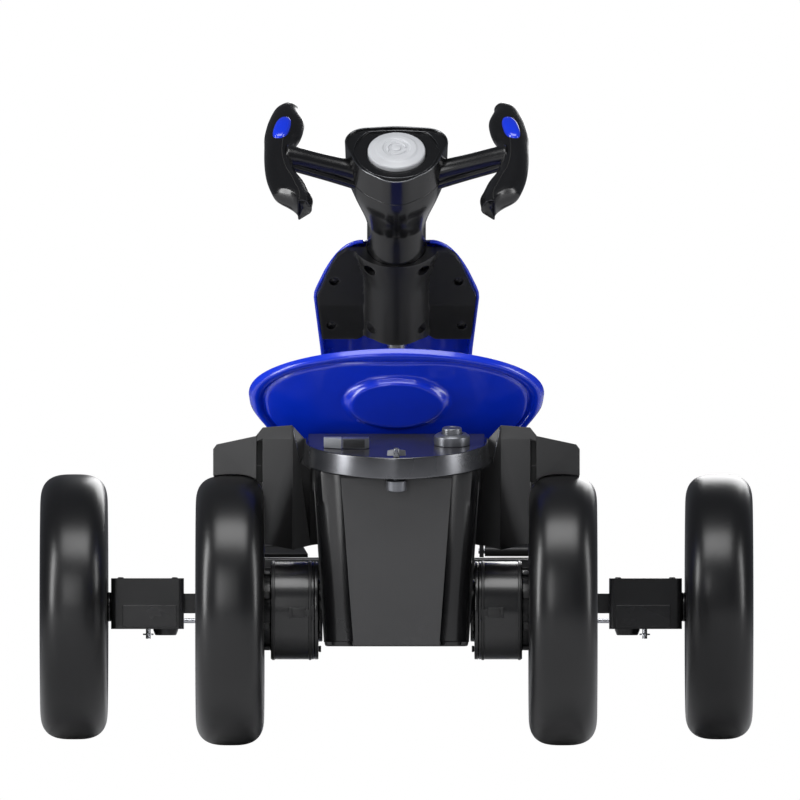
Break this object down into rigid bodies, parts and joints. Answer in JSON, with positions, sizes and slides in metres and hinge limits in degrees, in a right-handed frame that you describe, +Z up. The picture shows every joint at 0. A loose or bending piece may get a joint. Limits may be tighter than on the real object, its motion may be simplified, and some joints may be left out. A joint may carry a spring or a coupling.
{
  "type": "ride-on electric go-kart",
  "caption": "Child's ride-on go-kart: raked yoke steering column, bucket seat, smooth wheels, geared rear drive and steered front knuckles.",
  "frame": {"origin": "on the ground under the middle of the kart, halfway between the axles", "axes": "+X to the rider's right along the axles, +Y forward, +Z up"},
  "size_m": [0.6716, 0.87, 0.5987],
  "materials": {
    "tyre": "satin",
    "black_plastic": "satin",
    "gloss_black": "gloss",
    "blue_plastic": "gloss",
    "blue_button": "gloss",
    "white_plastic": "satin",
    "dark_steel": "satin",
    "bright_steel": "brushed",
    "gunmetal": "satin",
    "rim_gloss": "gloss",
    "nylon": "matte",
    "brass": "satin",
    "battery": "matte"
  },
  "bodies": {
    "chassis": {"main_frame": "dark_steel", "front_axle_beam": "dark_steel", "rear_axle": "bright_steel", "battery_housing": "black_plastic", "rear_panel": "black_plastic", "deck_cover": "gloss_black", "deck_rim": "rim_gloss", "battery_pack": "battery", "control_box": "battery", "seat_pedestal": "black_plastic", "seat_shell": "blue_plastic", "fender_left": "gloss_black", "fender_right": "gloss_black", "foot_rails": "dark_steel", "footboard_left": "black_plastic", "footboard_right": "black_plastic", "toe_plate": "black_plastic", "pedal_pin": "bright_steel", "column_bracket": "black_plastic", "bracket_screws": "dark_steel", "front_fairing": "blue_plastic", "steering_bush": "nylon", "gearbox_case_left": "gloss_black", "gearbox_case_right": "gloss_black", "gearbox_covers": "gloss_black", "motors": "gunmetal", "switch_base": "gunmetal", "button_collar": "gunmetal"},
    "steering": {"steering_shaft": "bright_steel", "hub_body": "gloss_black", "hub_cover": "gloss_black", "yoke_spokes": "gloss_black", "grip_left": "gloss_black", "grip_right": "gloss_black"},
    "horn": {"horn_button": "white_plastic"},
    "thumb_left": {"thumb_button_left": "blue_button"},
    "thumb_right": {"thumb_button_right": "blue_button"},
    "tie_rod": {"tie_rod": "bright_steel"},
    "knuckle_left": {"knuckle_upper_left": "black_plastic", "knuckle_lower_left": "black_plastic", "knuckle_pins_left": "bright_steel"},
    "knuckle_right": {"knuckle_upper_right": "black_plastic", "knuckle_lower_right": "black_plastic", "knuckle_pins_right": "bright_steel"},
    "wheel_front_left": {"tyre_front_left": "tyre", "rim_front_left": "black_plastic"},
    "wheel_front_right": {"tyre_front_right": "tyre", "rim_front_right": "black_plastic"},
    "wheel_rear_left": {"tyre_rear_left": "tyre", "rim_rear_left": "black_plastic", "output_gear_left": "nylon"},
    "wheel_rear_right": {"tyre_rear_right": "tyre", "rim_rear_right": "black_plastic", "output_gear_right": "nylon"},
    "pinion_left": {"motor_pinion_left": "brass"},
    "pinion_right": {"motor_pinion_right": "brass"},
    "pedal": {"accelerator_pedal": "black_plastic"},
    "fastener": {"deck_fastener": "gunmetal"},
    "switch": {"switch_slider": "gunmetal"},
    "power": {"power_button": "gunmetal"}
  },
  "joints": [
    {"name": "steering_turn", "type": "hinge", "parent": "chassis", "child": "steering", "pos_m": [0, 0.31, 0.125], "axis": [0, -0.6293, 0.7771], "range_deg": [-30, 30]},
    {"name": "knuckle_left_turn", "type": "hinge", "parent": "chassis", "child": "knuckle_left", "pos_m": [-0.2176, 0.31, 0.125], "axis": [0, 0, 1], "range_deg": [-20, 20]},
    {"name": "knuckle_right_turn", "type": "hinge", "parent": "chassis", "child": "knuckle_right", "pos_m": [0.2176, 0.31, 0.125], "axis": [0, 0, 1], "range_deg": [-20, 20]},
    {"name": "tie_rod_turn", "type": "hinge", "parent": "knuckle_left", "child": "tie_rod", "pos_m": [-0.2344, 0.365, 0.1115], "axis": [0, 0, 1], "range_deg": [-19, 19]},
    {"name": "wheel_front_left_spin", "type": "hinge", "parent": "knuckle_left", "child": "wheel_front_left", "pos_m": [-0.304, 0.31, 0.125], "axis": [1, 0, 0], "continuous": true},
    {"name": "wheel_front_right_spin", "type": "hinge", "parent": "knuckle_right", "child": "wheel_front_right", "pos_m": [0.304, 0.31, 0.125], "axis": [1, 0, 0], "continuous": true},
    {"name": "wheel_rear_left_spin", "type": "hinge", "parent": "chassis", "child": "wheel_rear_left", "pos_m": [-0.1542, -0.31, 0.125], "axis": [1, 0, 0], "continuous": true},
    {"name": "wheel_rear_right_spin", "type": "hinge", "parent": "chassis", "child": "wheel_rear_right", "pos_m": [0.1542, -0.31, 0.125], "axis": [1, 0, 0], "continuous": true},
    {"name": "pinion_left_spin", "type": "hinge", "parent": "chassis", "child": "pinion_left", "pos_m": [-0.0815, -0.28125, 0.125], "axis": [1, 0, 0], "continuous": true},
    {"name": "pinion_right_spin", "type": "hinge", "parent": "chassis", "child": "pinion_right", "pos_m": [0.0815, -0.28125, 0.125], "axis": [1, 0, 0], "continuous": true},
    {"name": "horn_press", "type": "slide", "parent": "steering", "child": "horn", "axis": [0, 0.6293, -0.7771], "range_m": [0, 0.003], "stiffness_N_per_m": 500, "springref_m": -0.002},
    {"name": "thumb_left_press", "type": "slide", "parent": "steering", "child": "thumb_left", "axis": [0, 0.6293, -0.7771], "range_m": [0, 0.002], "stiffness_N_per_m": 400, "springref_m": -0.001},
    {"name": "thumb_right_press", "type": "slide", "parent": "steering", "child": "thumb_right", "axis": [0, 0.6293, -0.7771], "range_m": [0, 0.002], "stiffness_N_per_m": 400, "springref_m": -0.001},
    {"name": "pedal_press", "type": "hinge", "parent": "chassis", "child": "pedal", "pos_m": [0.117, 0.216, 0.178], "axis": [1, 0, 0], "range_deg": [-12, 0], "stiffness_Nm_per_rad": 1, "springref_deg": 5.73},
    {"name": "fastener_turn", "type": "hinge", "parent": "chassis", "child": "fastener", "pos_m": [0, -0.41813, 0.26825], "axis": [0, -0.1822, 0.9833], "range_deg": [0, 90]},
    {"name": "switch_slide", "type": "slide", "parent": "chassis", "child": "switch", "axis": [1, 0, 0], "range_m": [0, 0.006]},
    {"name": "power_press", "type": "slide", "parent": "chassis", "child": "power", "axis": [0, 0.1822, -0.9833], "range_m": [0, 0.0025], "stiffness_N_per_m": 300, "springref_m": -0.002}
  ],
  "couplings": [
    {"joint": "knuckle_left_turn", "follows": "steering_turn", "ratio": 0.6666},
    {"joint": "knuckle_right_turn", "follows": "steering_turn", "ratio": 0.6666},
    {"joint": "tie_rod_turn", "follows": "steering_turn", "ratio": -0.6197},
    {"joint": "pinion_left_spin", "follows": "wheel_rear_left_spin", "ratio": -2.8},
    {"joint": "pinion_right_spin", "follows": "wheel_rear_right_spin", "ratio": -2.8}
  ]
}
